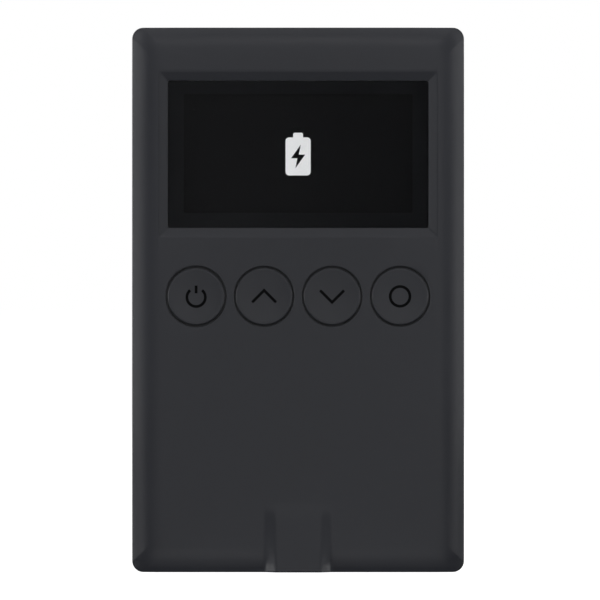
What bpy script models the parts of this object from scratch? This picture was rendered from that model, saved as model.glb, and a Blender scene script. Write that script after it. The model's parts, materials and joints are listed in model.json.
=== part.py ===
"""Pocket keypad unit: a flat, rechargeable hand-held case with a display, four keys and a USB-C socket.

Run it with: blender --background --python part.py

The case stands upright. X runs across it, Z runs up it, and Y runs from the display side to the back.
The origin is under the middle of the case, at the height of its bottom edge. Sizes are in millimetres.
Depths are measured from the flat of the display side towards the back. The builders turn both into metres.
"""

import math

import bmesh
import bpy
from mathutils import Vector

# ------------------------------------------------------------------ driving dimensions, in millimetres
MM = 0.001

WIDTH = 54.0
HEIGHT = 88.6
THICKNESS = 6.6
CORNER_RADIUS = 1.8
MID_Z = HEIGHT / 2

# The crown: the display side falls away towards the outline.
CROWN_REACH = 5.2
CROWN_DROP = 1.15
CROWN_POWER = 2.5
CROWN_START = 0.15
CROWN_STEPS = 6
SIDE_START = 1.5

# Walls, and the depth at which the two shells part. OVERLAP is how far joined shapes run into each other.
WALL = 1.2
FRONT_PLATE = 1.1
BACK_PLATE = 0.95
BACK_EDGE_RADIUS = 1.3
BACK_EDGE_STEPS = 4
INNER_CORNER = ((2.2, WALL), (1.5, 1.9), (FRONT_PLATE, 3.4))
SPLIT_DEPTH = 4.4
SPLIT_GAP = 0.1
LIP_GAP = 0.1
LIP_WALL = 0.6
LIP_START = 3.75
OVERLAP = 0.2

# The hump keeps the case at full thickness over the socket, where the crown would thin it. Its flat top
# slopes down from the foot, so it stands proud by HUMP_RISE there and by HUMP_END_RISE at its upper end.
HUMP_RISE = 0.45
HUMP_END_RISE = 0.33
HUMP_TOP_HALF = 3.5
HUMP_BASE_HALF = 5.7
HUMP_TOP_Z = 9.3
HUMP_BASE_Z = 11.2
HUMP_SINK = 0.06
HUMP_FLOOR = 1.65
HUMP_START_Z = 0.05
HUMP_FOOT_Z = 0.3
HUMP_EDGE = 0.4
HUMP_EDGE_DROP = 0.06
HUMP_CORNERS = (0.8, 1.0, 2.4)
HUMP_SIDE_STEPS = 8
HUMP_SIDE_CROWDING = 1.5

FRONT_Y = -(THICKNESS + HUMP_RISE) / 2 + HUMP_RISE

# Display window: a chamfered frame, the glass and the opening that it shows the panel through.
WINDOW_Z = 67.98
WINDOW_CORNER = 0.25
GLASS_HALF = (21.2, 12.0)
CHAMFER = 1.5
CHAMFER_DEPTH = 0.55
GLASS_THICKNESS = 0.7
GLASS_GAP = 0.1
LEDGE_DEPTH = 1.42
VIEW_HALF = (18.7, 9.75)
VIEW_Z = 68.12
FRAME_BACK = 1.95
FRAME_HALF = (23.0, 14.0)
TAPE_MARGIN = 0.3
TAPE_DEPTH = (1.28, 1.4)
GASKET_HALF = (20.9, 11.6)
GASKET_DEPTH = (2.0, 2.2)

# The panel is two sheets of glass. The rear one is longer, and its step carries the driver and the flex.
PANEL_HALF_X = 21.0
PANEL_DEPTH = (2.25, 3.65)
PANEL_STEP_DEPTH = 2.95
PANEL_Z = (54.2, 57.2, 81.4)
DRIVER_HALF = (6.0, 0.55)
DRIVER_Z = 56.3
DRIVER_DEPTH = (2.6, 2.9)
PAD_HALF = (18.0, 9.5)
PAD_Z = 69.5
PAD_DEPTH = (3.7, 3.95)
FLEX_HALF_X = 8.0
FLEX_THICKNESS = 0.12
FLEX_PATH = ((55.3, 2.83), (53.9, 2.83), (53.3, 2.95), (52.4, 3.35), (51.8, 3.45), (49.7, 3.45))
CONNECTOR_HALF = (9.0, 1.3)
CONNECTOR_Z = 49.9
CONNECTOR_DEPTH = (2.95, 3.95)
CONNECTOR_SLIT_HALF = (8.2, 1.2)
CONNECTOR_SLIT_Z = 50.6
CONNECTOR_SLIT_DEPTH = (3.3, 3.6)

# Keys, from left to right, and the switch under each.
KEY_NAMES = ("power", "up", "down", "confirm")
KEY_PITCH = 11.05
KEY_Z = 44.87
KEY_RADIUS = 4.65
KEY_RIM_RADIUS = 4.4
KEY_EDGE_DROP = 0.12
KEY_DISH = 0.2
KEY_DISH_RADII = (1.6, 3.1, KEY_RIM_RADIUS)
KEY_HOLE_RADIUS = 5.0
KEY_HOLE_DEPTH = 1.6
KEY_FLANGE_RADIUS = 5.25
KEY_FLANGE_DEPTH = (1.2, 1.65)
KEY_RIB_HALF = (22.3, 0.4)
KEY_RIB_OFFSET = KEY_FLANGE_RADIUS + 0.55
NUB_RADIUS = 1.1
NUB_TIP = 2.25
NUB_HOLE_RADIUS = 1.6
RETAINER_HALF = (22.6, 6.2)
RETAINER_DEPTH = (2.0, 2.3)
PLUNGER_RADIUS = 1.0
PLUNGER_BEVEL = 0.1
PLUNGER_DEPTH = (2.35, 3.3)
SWITCH_HALF = 2.1
SWITCH_DEPTH = (2.85, 3.9)
SWITCH_WELL_RADIUS = 1.25
SWITCH_WELL_FLOOR = 3.7

# The symbols engraved in the keys.
ICON_STROKE = 0.45
ICON_DEPTH = 0.4
CHEVRON_ARM = 1.95
POWER_RADIUS = 1.5
POWER_ARC = (130, 410)
POWER_DROP = 0.15
POWER_BAR = (0.5, 1.75)
CONFIRM_RADIUS = 1.6

# Cutters start this far in front of what they cut.
CLEAR = 1.0

# Main board and what holds it.
BOARD_DEPTH = (4.0, 4.8)
BOARD_HALF = (24.9, 42.3)
BOARD_PART_GAP = 0.05
BOARD_NOTCH_GAP = 0.15
BOARD_HOLE_RADIUS = 0.8
BOSS_RADIUS = 1.6
BOSS_BORE = 0.7
BOSS_BORE_FLOOR = 1.7
BOSS_PLACES = ((-23.0, 84.6), (23.0, 84.6), (-23.0, 6.0), (23.0, 6.0))
SCREW_RADIUS = 0.55
SCREW_TIP = (0.3, 2.0)
SCREW_TAPER_END = 2.3
SCREW_HEAD_RADIUS = 1.3
SCREW_HEAD_EDGE = 0.35
SCREW_CROWN = (1.0, 0.55)

# What is soldered to the board's back: a name, a surface, a centre, half sizes and a height.
CHIPS = (
    ("main_chip", "chip", (-10.0, 64.0), (3.5, 3.5), 0.65),
    ("secure_chip", "chip", (3.0, 64.0), (2.5, 2.5), 0.6),
    ("memory_chip", "chip", (-10.0, 53.0), (2.0, 2.0), 0.6),
    ("charger_chip", "chip", (10.0, 14.0), (1.6, 1.6), 0.6),
    ("crystal", "steel", (-2.5, 56.0), (1.6, 1.25), 0.6),
    ("radio_shield", "steel", (14.0, 74.0), (4.5, 3.5), 0.7),
    ("chip_antenna", "ceramic", (16.5, 84.0), (2.6, 0.9), 0.7),
    ("power_inductor", "chip", (15.5, 19.0), (1.5, 1.5), 0.7),
)

# USB-C socket, whose mouth faces down.
SOCKET_DEPTH = 3.4
SOCKET_HALF = (4.47, 1.6)
SOCKET_CORNER = 1.4
SOCKET_WALL = 0.3
SOCKET_Z = (0.5, 7.8)
SLOT_CLEARANCE = 0.13
SLOT_TOP = 4.0
TONGUE_HALF = (3.33, 0.35)
TONGUE_CORNER = 0.2
TONGUE_INSET = 0.5
TONGUE_BASE_Z = 5.6
TONGUE_BASE_GAP = 0.08
TONGUE_BASE_CORNER = 1.0

# Battery: the middle of its cell, the half sizes, and what goes with it.
BATTERY_AT = (-3.0, 24.0)
BATTERY_HALF = (18.0, 11.5)
BATTERY_DEPTH = (1.25, 3.75)
BATTERY_EDGE = 0.5
BATTERY_CORNERS = (1.0, 1.5)
BATTERY_TAPE_MARGIN = 2.0
GUARD_HALF = (14.0, 1.25)
GUARD_Z = 36.85
GUARD_DEPTH = (1.7, 2.7)
BATTERY_SOCKET_AT = (20.0, 23.0)
BATTERY_SOCKET_HALF = (2.4, 1.9)
BATTERY_SOCKET_DEPTH = (2.1, 3.95)
PLUG_Z = 26.4
PLUG_HALF = (2.0, 1.4)
PLUG_DEPTH = (2.3, 3.7)
LEAD_RADIUS = 0.4
LEAD_SPREAD = 0.75
LEAD_DEPTHS = (2.2, 2.4, 2.8, 3.0)

CORNER_STEPS = 5
ROUND_STEPS = 36


# ------------------------------------------------------------------ materials
def material(name, colour, roughness, metallic=0.0):
    """A plain Principled material."""
    made = bpy.data.materials.new(name)
    made.use_nodes = True
    shader = made.node_tree.nodes["Principled BSDF"]
    shader.inputs["Base Color"].default_value = (*colour, 1.0)
    shader.inputs["Roughness"].default_value = roughness
    shader.inputs["Metallic"].default_value = metallic
    made.diffuse_color = (*colour, 1.0)
    return made


def make_materials():
    """The materials by name, with the colour, roughness and metallic value of each."""
    return {
        "case": material("charcoal_plastic", (0.031, 0.033, 0.037), 0.55),
        "key": material("charcoal_key_plastic", (0.033, 0.035, 0.039), 0.5),
        "glass": material("black_glass", (0.006, 0.007, 0.008), 0.08),
        "tape": material("black_tape", (0.01, 0.01, 0.01), 0.8),
        "foam": material("grey_foam", (0.05, 0.05, 0.05), 0.95),
        "panel": material("panel_glass", (0.01, 0.01, 0.012), 0.15),
        "flex": material("amber_flex", (0.45, 0.2, 0.03), 0.4),
        "plate": material("white_nylon", (0.6, 0.6, 0.58), 0.6),
        "switch": material("switch_nylon", (0.05, 0.05, 0.05), 0.6),
        "board": material("green_board", (0.01, 0.09, 0.03), 0.4),
        "chip": material("chip_epoxy", (0.015, 0.015, 0.015), 0.5),
        "steel": material("steel", (0.6, 0.6, 0.6), 0.3, 1.0),
        "ceramic": material("ceramic", (0.7, 0.68, 0.6), 0.5),
        "pouch": material("battery_pouch", (0.55, 0.56, 0.58), 0.35, 0.6),
        "red": material("red_wire", (0.5, 0.02, 0.02), 0.5),
        "black": material("black_wire", (0.01, 0.01, 0.01), 0.5),
    }


# ------------------------------------------------------------------ builders
def to_metres(point):
    """(x, depth, z) in millimetres as a place in metres."""
    x, depth, z = point
    return Vector((x * MM, (FRONT_Y + depth) * MM, z * MM))


def make_object(name, mesh, origin, surface, parent):
    """The mesh as a named object with its origin at that point."""
    made = bpy.data.objects.new(name, mesh)
    bpy.context.scene.collection.objects.link(made)
    made.location = to_metres(origin)
    if surface is not None:
        mesh.materials.append(surface)
    if parent is not None:
        bpy.context.view_layer.update()
        made.parent = parent
        made.matrix_parent_inverse = parent.matrix_world.inverted()
    return made


def add_rings(shape, rings, origin, looped):
    """Adds to a bmesh the skin through rings of points, closed by end faces, or by itself if looped."""
    base = to_metres(origin)
    made = [[shape.verts.new(to_metres(point) - base) for point in ring] for ring in rings]
    pairs = list(zip(made, made[1:]))
    if looped:
        pairs.append((made[-1], made[0]))
    else:
        shape.faces.new(made[0])
        shape.faces.new(list(reversed(made[-1])))
    for first, second in pairs:
        for k, corner in enumerate(first):
            after = (k + 1) % len(first)
            shape.faces.new((corner, second[k], second[after], first[after]))


def loft(name, bodies, surface=None, origin=(0, 0, 0), looped=False, parent=None, smooth=None):
    """An object made of one or more lofted bodies, each a list of rings."""
    shape = bmesh.new()
    for rings in bodies:
        add_rings(shape, rings, origin, looped)
    bmesh.ops.recalc_face_normals(shape, faces=shape.faces)
    mesh = bpy.data.meshes.new(name)
    shape.to_mesh(mesh)
    shape.free()
    if smooth is not None:
        mesh.shade_smooth()
        mesh.set_sharp_from_angle(angle=math.radians(smooth))
    return make_object(name, mesh, origin, surface, parent)


def rounded_rect(half_x, half_z, radius, centre=(0.0, 0.0), steps=CORNER_STEPS):
    """(x, z) points round a rectangle with round corners, anticlockwise from the middle right."""
    points = []
    for quarter, (side_x, side_z) in enumerate(((1, 1), (-1, 1), (-1, -1), (1, -1))):
        for step in range(steps + 1):
            angle = (quarter + step / steps) * math.pi / 2
            points.append(
                (
                    centre[0] + side_x * (half_x - radius) + radius * math.cos(angle),
                    centre[1] + side_z * (half_z - radius) + radius * math.sin(angle),
                )
            )
    return points


def at_depth(points, depth):
    """(x, z) points as a ring at one depth."""
    return [(x, depth, z) for x, z in points]


def plate_rings(points, depths):
    """The two rings of a flat plate with that outline."""
    return [at_depth(points, depth) for depth in depths]


def frame_rings(outer, inner, depths):
    """The four rings of a flat frame, for a looped loft."""
    front, back = depths
    return [at_depth(outer, front), at_depth(outer, back), at_depth(inner, back), at_depth(inner, front)]


def box_rings(centre_x, centre_z, half_x, half_z, depths):
    """The two rings of a plain box."""
    corners = [(half_x, half_z), (-half_x, half_z), (-half_x, -half_z), (half_x, -half_z)]
    return plate_rings([(centre_x + x, centre_z + z) for x, z in corners], depths)


def turned_rings(profile, centre, steps=ROUND_STEPS):
    """Rings about an axis along Y, from (radius, depth) pairs."""
    rings = []
    for radius, depth in profile:
        turn = [2 * math.pi * k / steps for k in range(steps)]
        rings.append(
            [(centre[0] + radius * math.cos(a), depth, centre[1] + radius * math.sin(a)) for a in turn]
        )
    return rings


def upright_rings(half_x, half_depth, radius, centre_depth, heights, steps=CORNER_STEPS):
    """Rings of a bar that runs along Z, with a rounded outline in X and depth."""
    outline = rounded_rect(half_x, half_depth, radius, (0.0, centre_depth), steps)
    return [[(x, depth, z) for x, depth in outline] for z in heights]


def helper(made):
    """Marks an object as a tool that shapes others and isn't a piece itself."""
    made.hide_render = True
    made.display_type = "WIRE"
    return made


def boolean(target, tool, operation):
    """Joins the tool to the target, or cuts it away."""
    step = target.modifiers.new(tool.name, "BOOLEAN")
    step.operation = operation
    step.object = helper(tool)


def tube(name, points, radius, surface, parent):
    """A round lead through hand-placed points, smoothed and read back as a close polyline."""
    samples = 6
    path = []
    for k in range(len(points) - 1):
        before, start = points[max(k - 1, 0)], points[k]
        end, after = points[k + 1], points[min(k + 2, len(points) - 1)]
        for s in range(samples):
            t = s / samples
            path.append(
                tuple(
                    0.5
                    * (
                        2 * b
                        + (c - a) * t
                        + (2 * a - 5 * b + 4 * c - d) * t * t
                        + (3 * b - a - 3 * c + d) * t**3
                    )
                    for a, b, c, d in zip(before, start, end, after)
                )
            )
    path.append(points[-1])
    curve = bpy.data.curves.new(name, "CURVE")
    curve.dimensions = "3D"
    curve.bevel_depth = radius * MM
    curve.bevel_resolution = 2
    curve.use_fill_caps = True
    spline = curve.splines.new("POLY")
    spline.points.add(len(path) - 1)
    base = to_metres((0, 0, 0))
    for knot, place in zip(spline.points, path):
        knot.co = (*(to_metres(place) - base), 1.0)
    return make_object(name, curve, (0, 0, 0), surface, parent)


# ------------------------------------------------------------------ case
def crown_rings():
    """(inset, depth) pairs of the display side's edge, from its flat out to the side wall."""
    pairs = []
    for k in range(CROWN_STEPS + 1):
        away = 1 - k / CROWN_STEPS
        pairs.append((CROWN_START + CROWN_REACH * away, CROWN_DROP * (1 - away) ** CROWN_POWER))
    middle = (CROWN_DROP + SIDE_START) / 2
    return [*pairs, (CROWN_START / 4, middle), (0.0, SIDE_START)]


def crown_depth(inset):
    """Depth of the display side at that distance in from the outline."""
    if inset < CROWN_START:
        return CROWN_DROP + (SIDE_START - CROWN_DROP) * (1 - inset / CROWN_START)
    away = min(1.0, (inset - CROWN_START) / CROWN_REACH)
    return CROWN_DROP * (1 - away) ** CROWN_POWER


def case_ring(inset, depth):
    """The case's outline, moved in, at that depth."""
    outline = rounded_rect(WIDTH / 2 - inset, HEIGHT / 2 - inset, CORNER_RADIUS, (0.0, MID_Z))
    return at_depth(outline, depth)


def hump_ring(half_width, start_z, end_z, corner, depth_at):
    """One outline of the hump: up its left side, round its top corners and down its right side."""
    last = end_z - corner
    # The points crowd towards the foot, where the crown under the hump curves most.
    shares = [(k / HUMP_SIDE_STEPS) ** HUMP_SIDE_CROWDING for k in range(HUMP_SIDE_STEPS + 1)]
    heights = [start_z + (last - start_z) * share for share in shares]
    side = [(-half_width, z) for z in heights]
    for k in range(1, CORNER_STEPS + 1):
        angle = math.pi / 2 * k / CORNER_STEPS
        x = -half_width + corner * (1 - math.cos(angle))
        side.append((x, end_z - corner * (1 - math.sin(angle))))
    points = side + [(-x, z) for x, z in reversed(side)]
    return [(x, depth_at(z), z) for x, z in points]


def hump_top(z):
    """Depth of the hump's flat top, which is a plane."""
    up = (z - HUMP_FOOT_Z) / (HUMP_TOP_Z - HUMP_FOOT_Z)
    return (HUMP_RISE - HUMP_END_RISE) * up - HUMP_RISE


def hump_rings():
    """The hump over the socket, from its flat top down into the display side's plate."""
    top_corner, edge_corner, base_corner = HUMP_CORNERS
    edge_half = HUMP_TOP_HALF + HUMP_EDGE
    edge_z = HUMP_TOP_Z + HUMP_EDGE
    base = (HUMP_BASE_HALF, HUMP_START_Z, HUMP_BASE_Z, base_corner)
    return [
        hump_ring(HUMP_TOP_HALF, HUMP_FOOT_Z, HUMP_TOP_Z, top_corner, hump_top),
        hump_ring(edge_half, HUMP_START_Z, edge_z, edge_corner, lambda z: hump_top(z) + HUMP_EDGE_DROP),
        hump_ring(*base, lambda z: crown_depth(z) + HUMP_SINK),
        hump_ring(*base, lambda z: HUMP_FLOOR),
    ]


def window_cut_rings():
    """The window's stepped opening: chamfer, glass pocket and view opening."""
    grow = CHAMFER * (1 + OVERLAP / CHAMFER_DEPTH)
    half_x, half_z = GLASS_HALF
    centre = (0.0, WINDOW_Z)
    pocket = rounded_rect(half_x, half_z, WINDOW_CORNER, centre, 2)
    mouth = rounded_rect(half_x + grow, half_z + grow, WINDOW_CORNER, centre, 2)
    view = rounded_rect(*VIEW_HALF, WINDOW_CORNER, (0.0, VIEW_Z), 2)
    return [
        at_depth(mouth, -OVERLAP),
        at_depth(pocket, CHAMFER_DEPTH),
        at_depth(pocket, LEDGE_DEPTH),
        at_depth(view, LEDGE_DEPTH),
        at_depth(view, FRAME_BACK + OVERLAP),
    ]


def socket_slot():
    """A cutter for the socket's opening in both shells."""
    half_x, half_depth = (side + SLOT_CLEARANCE for side in SOCKET_HALF)
    corner = SOCKET_CORNER + SLOT_CLEARANCE
    rings = upright_rings(half_x, half_depth, corner, SOCKET_DEPTH, (-CLEAR, SLOT_TOP))
    return loft("cut_socket_slot", [rings])


def make_front_shell(surfaces, frame):
    """The display side and the side walls, with the window, the key holes and what stands behind them."""
    outside = [case_ring(inset, depth) for inset, depth in crown_rings()]
    inside = [case_ring(inset, depth) for depth, inset in INNER_CORNER]
    rings = [*outside, case_ring(0.0, SPLIT_DEPTH), case_ring(WALL, SPLIT_DEPTH), *inside]
    shell = loft("front_shell", [rings], surfaces["case"], parent=frame, smooth=30)

    behind = FRONT_PLATE - OVERLAP
    stand = (behind, FRAME_BACK)
    window_frame = box_rings(0.0, WINDOW_Z, *FRAME_HALF, stand)
    ribs = [box_rings(0.0, KEY_Z + side * KEY_RIB_OFFSET, *KEY_RIB_HALF, stand) for side in (-1, 1)]
    boss = [(BOSS_RADIUS, behind), (BOSS_RADIUS, BOARD_DEPTH[0] - BOARD_PART_GAP)]
    bosses = [turned_rings(boss, at, 20) for at in BOSS_PLACES]
    boolean(shell, loft("add_socket_hump", [hump_rings()]), "UNION")
    boolean(shell, loft("add_window_frame", [window_frame]), "UNION")
    boolean(shell, loft("add_key_ribs", ribs), "UNION")
    boolean(shell, loft("add_bosses", bosses), "UNION")

    hole = [(KEY_HOLE_RADIUS, -CLEAR), (KEY_HOLE_RADIUS, KEY_HOLE_DEPTH)]
    holes = [turned_rings(hole, (x, KEY_Z)) for x in key_places()]
    bore = [(BOSS_BORE, BOSS_BORE_FLOOR), (BOSS_BORE, SPLIT_DEPTH)]
    bores = [turned_rings(bore, at, 16) for at in BOSS_PLACES]
    boolean(shell, loft("cut_window", [window_cut_rings()]), "DIFFERENCE")
    boolean(shell, loft("cut_key_holes", holes), "DIFFERENCE")
    boolean(shell, loft("cut_boss_bores", bores), "DIFFERENCE")
    boolean(shell, bpy.data.objects["cut_socket_slot"], "DIFFERENCE")


def make_rear_cover(surfaces, frame):
    """The back, with a lip that locates it inside the front shell's walls."""
    rim = SPLIT_DEPTH + SPLIT_GAP
    lip_outer = WALL + LIP_GAP
    lip_inner = lip_outer + LIP_WALL
    edge = []
    for k in range(BACK_EDGE_STEPS + 1):
        angle = math.pi / 2 * k / BACK_EDGE_STEPS
        inset = BACK_EDGE_RADIUS * (1 - math.cos(angle))
        edge.append(case_ring(inset, THICKNESS - BACK_EDGE_RADIUS * (1 - math.sin(angle))))
    rings = [
        case_ring(lip_inner, THICKNESS - BACK_PLATE),
        case_ring(lip_inner, LIP_START),
        case_ring(lip_outer, LIP_START),
        case_ring(lip_outer, rim),
        case_ring(0.0, rim),
        *edge,
    ]
    cover = loft("rear_cover", [rings], surfaces["case"], parent=frame, smooth=30)
    boolean(cover, bpy.data.objects["cut_socket_slot"], "DIFFERENCE")


# ------------------------------------------------------------------ display
def make_display(surfaces, frame):
    """The window glass, its tape, and the panel with its gasket, driver chip and foam pad behind it."""
    half_x, half_z = GLASS_HALF
    centre = (0.0, WINDOW_Z)
    view_centre = (0.0, VIEW_Z)
    glass_depth = (CHAMFER_DEPTH, CHAMFER_DEPTH + GLASS_THICKNESS)
    glass = rounded_rect(half_x - GLASS_GAP, half_z - GLASS_GAP, WINDOW_CORNER, centre, 2)
    loft("display_window", [plate_rings(glass, glass_depth)], surfaces["glass"], parent=frame)

    outer = rounded_rect(half_x - TAPE_MARGIN, half_z - TAPE_MARGIN, WINDOW_CORNER, centre, 1)
    inner_half = [side + TAPE_MARGIN for side in VIEW_HALF]
    inner = rounded_rect(*inner_half, WINDOW_CORNER, view_centre, 1)
    tape = frame_rings(outer, inner, TAPE_DEPTH)
    loft("window_tape", [tape], surfaces["tape"], looped=True, parent=frame)

    outer = rounded_rect(*GASKET_HALF, WINDOW_CORNER, view_centre, 1)
    gasket = frame_rings(outer, inner, GASKET_DEPTH)
    loft("panel_gasket", [gasket], surfaces["foam"], looped=True, parent=frame)

    low, step, high = PANEL_Z
    front, back = PANEL_DEPTH
    section = [(low, back), (high, back), (high, front), (step, front), (step, PANEL_STEP_DEPTH)]
    section.append((low, PANEL_STEP_DEPTH))
    panel = [[(x, depth, z) for z, depth in section] for x in (-PANEL_HALF_X, PANEL_HALF_X)]
    loft("display_panel", [panel], surfaces["panel"], parent=frame)
    driver = box_rings(0.0, DRIVER_Z, *DRIVER_HALF, DRIVER_DEPTH)
    loft("display_driver_chip", [driver], surfaces["chip"], parent=frame)
    pad = box_rings(0.0, PAD_Z, *PAD_HALF, PAD_DEPTH)
    loft("panel_pad", [pad], surfaces["foam"], parent=frame)


def make_display_flex(surfaces, frame):
    """The flex that runs from the panel's step to its connector on the board."""
    half = FLEX_THICKNESS / 2
    near = [(z, depth - half) for z, depth in FLEX_PATH]
    far = [(z, depth + half) for z, depth in reversed(FLEX_PATH)]
    flex = [[(x, depth, z) for z, depth in near + far] for x in (-FLEX_HALF_X, FLEX_HALF_X)]
    loft("display_flex", [flex], surfaces["flex"], parent=frame)

    block = box_rings(0.0, CONNECTOR_Z, *CONNECTOR_HALF, CONNECTOR_DEPTH)
    connector = loft("flex_connector", [block], surfaces["plate"], parent=frame)
    slit = box_rings(0.0, CONNECTOR_SLIT_Z, *CONNECTOR_SLIT_HALF, CONNECTOR_SLIT_DEPTH)
    boolean(connector, loft("cut_flex_slit", [slit]), "DIFFERENCE")


# ------------------------------------------------------------------ keys
def key_places():
    """The X of each key's axis."""
    first = -KEY_PITCH * (len(KEY_NAMES) - 1) / 2
    return [first + KEY_PITCH * k for k in range(len(KEY_NAMES))]


def stroke(points):
    """The rings of a cutter that engraves one line of a symbol, with round ends."""
    half = ICON_STROKE / 2
    sides = ([], [])
    for k, (x, z) in enumerate(points):
        before, after = points[max(k - 1, 0)], points[min(k + 1, len(points) - 1)]
        along = Vector((after[0] - before[0], after[1] - before[1])).normalized()
        into = Vector((x - before[0], z - before[1])).normalized() if k else along
        # On a corner the side moves out, so that both lines keep their width.
        reach = half / max(0.5, abs(into.dot(along)))
        sides[0].append((x - along.y * reach, z + along.x * reach))
        sides[1].append((x + along.y * reach, z - along.x * reach))
    ends = []
    for centre, towards in ((points[-1], points[-2]), (points[0], points[1])):
        start = math.atan2(centre[1] - towards[1], centre[0] - towards[0])
        turn = [start - math.pi / 2 + math.pi * k / 4 for k in (1, 2, 3)]
        ends.append([(centre[0] + half * math.cos(a), centre[1] + half * math.sin(a)) for a in turn])
    outline = sides[1] + ends[0] + list(reversed(sides[0])) + ends[1]
    return plate_rings(outline, (-CLEAR, ICON_DEPTH))


def arc_points(radius, start, end, centre_z, steps):
    """Points along an arc about the key's axis. Angles are in degrees, anticlockwise from +X."""
    turn = [math.radians(start + (end - start) * k / steps) for k in range(steps + 1)]
    return [(radius * math.cos(a), centre_z + radius * math.sin(a)) for a in turn]


def key_symbol(name):
    """The bodies that engrave the symbol of the power, up or down key, about its own axis."""
    if name == "power":
        low, high = POWER_BAR
        arc = stroke(arc_points(POWER_RADIUS, *POWER_ARC, -POWER_DROP, 14))
        return [arc, stroke([(0.0, low), (0.0, high)])]
    tip = CHEVRON_ARM / 2 if name == "up" else -CHEVRON_ARM / 2
    return [stroke([(-CHEVRON_ARM, -tip), (0.0, tip), (CHEVRON_ARM, -tip)])]


def confirm_ring(centre):
    """The round groove of the confirm key's symbol, for a looped loft."""
    inner = CONFIRM_RADIUS - ICON_STROKE / 2
    outer = CONFIRM_RADIUS + ICON_STROKE / 2
    profile = [(outer, -CLEAR), (outer, ICON_DEPTH), (inner, ICON_DEPTH), (inner, -CLEAR)]
    return turned_rings(profile, centre, 24)


def shifted(rings, centre):
    """Rings made about a key's axis, moved to where that axis is."""
    return [[(x + centre[0], depth, z + centre[1]) for x, depth, z in ring] for ring in rings]


def make_key(name, x, surfaces, frame):
    """One key cap with the plunger of its switch, both on an empty that slides along Y."""
    at = (x, KEY_Z)
    axis = bpy.data.objects.new(f"{name}_key_slide", None)
    bpy.context.scene.collection.objects.link(axis)
    axis.location = to_metres((x, 0.0, KEY_Z))
    axis.empty_display_size = 2 * MM
    axis.parent = frame
    flange_front, flange_back = KEY_FLANGE_DEPTH
    profile = [
        *((r, KEY_DISH * (1 - (r / KEY_RIM_RADIUS) ** 2)) for r in KEY_DISH_RADII),
        (KEY_RADIUS, KEY_EDGE_DROP),
        (KEY_RADIUS, flange_front),
        (KEY_FLANGE_RADIUS, flange_front),
        (KEY_FLANGE_RADIUS, flange_back),
        (NUB_RADIUS, flange_back),
        (NUB_RADIUS, NUB_TIP),
    ]
    origin = (x, 0.0, KEY_Z)
    rings = turned_rings(profile, at)
    cap = loft(f"{name}_key", [rings], surfaces["key"], origin, parent=axis, smooth=30)
    if name == "confirm":
        tool = loft("cut_confirm_symbol", [confirm_ring(at)], looped=True)
    else:
        tool = loft(f"cut_{name}_symbol", [shifted(rings, at) for rings in key_symbol(name)])
    boolean(cap, tool, "DIFFERENCE")
    front, back = PLUNGER_DEPTH
    pin = [(PLUNGER_RADIUS - PLUNGER_BEVEL, front), (PLUNGER_RADIUS, front + PLUNGER_BEVEL)]
    rings = turned_rings([*pin, (PLUNGER_RADIUS, back)], at, 16)
    loft(f"{name}_plunger", [rings], surfaces["plate"], origin, parent=axis, smooth=30)


def make_keypad(surfaces, frame):
    """The keys, the plate that keeps them in, and the switches on the board."""
    for name, x in zip(KEY_NAMES, key_places()):
        make_key(name, x, surfaces, frame)

    outline = rounded_rect(*RETAINER_HALF, 1.0, (0.0, KEY_Z), 2)
    plate = loft("key_retainer", [plate_rings(outline, RETAINER_DEPTH)], surfaces["plate"], parent=frame)
    front, back = RETAINER_DEPTH
    hole = [(NUB_HOLE_RADIUS, front - OVERLAP), (NUB_HOLE_RADIUS, back + OVERLAP)]
    holes = [turned_rings(hole, (x, KEY_Z), 20) for x in key_places()]
    boolean(plate, loft("cut_nub_holes", holes), "DIFFERENCE")

    mouth = SWITCH_DEPTH[0] - OVERLAP
    well_profile = [(SWITCH_WELL_RADIUS, mouth), (SWITCH_WELL_RADIUS, SWITCH_WELL_FLOOR)]
    for name, x in zip(KEY_NAMES, key_places()):
        base = box_rings(x, KEY_Z, SWITCH_HALF, SWITCH_HALF, SWITCH_DEPTH)
        switch = loft(f"{name}_switch_base", [base], surfaces["switch"], parent=frame)
        well = loft(f"cut_{name}_switch_well", [turned_rings(well_profile, (x, KEY_Z), 16)])
        boolean(switch, well, "DIFFERENCE")


# ------------------------------------------------------------------ board, socket and battery
def make_board(surfaces, frame):
    """The main board, notched for the socket, with the screws that hold it to the front shell."""
    front, back = BOARD_DEPTH
    outline = rounded_rect(*BOARD_HALF, CORNER_RADIUS, (0.0, MID_Z), 3)
    board = loft("main_board", [plate_rings(outline, BOARD_DEPTH)], surfaces["board"], parent=frame)
    through = (front - OVERLAP, back + OVERLAP)
    notch = box_rings(0.0, 0.0, SOCKET_HALF[0] + BOARD_NOTCH_GAP, SOCKET_Z[1] + BOARD_NOTCH_GAP, through)
    boolean(board, loft("cut_board_notch", [notch]), "DIFFERENCE")
    hole = [(BOARD_HOLE_RADIUS, depth) for depth in through]
    holes = [turned_rings(hole, at, 16) for at in BOSS_PLACES]
    boolean(board, loft("cut_board_holes", holes), "DIFFERENCE")

    head = back + BOARD_PART_GAP
    crown_radius, crown_height = SCREW_CROWN
    profile = [
        SCREW_TIP,
        (SCREW_RADIUS, SCREW_TAPER_END),
        (SCREW_RADIUS, head),
        (SCREW_HEAD_RADIUS, head),
        (SCREW_HEAD_RADIUS, head + SCREW_HEAD_EDGE),
        (crown_radius, head + crown_height),
    ]
    for number, at in enumerate(BOSS_PLACES, start=1):
        rings = turned_rings(profile, at, 16)
        loft(f"board_screw_{number}", [rings], surfaces["steel"], parent=frame, smooth=30)


def make_chips(surfaces, frame):
    """What is soldered to the board's back."""
    base = BOARD_DEPTH[1] + BOARD_PART_GAP
    for name, surface, centre, half, height in CHIPS:
        rings = box_rings(*centre, *half, (base, base + height))
        loft(name, [rings], surfaces[surface], parent=frame)


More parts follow.
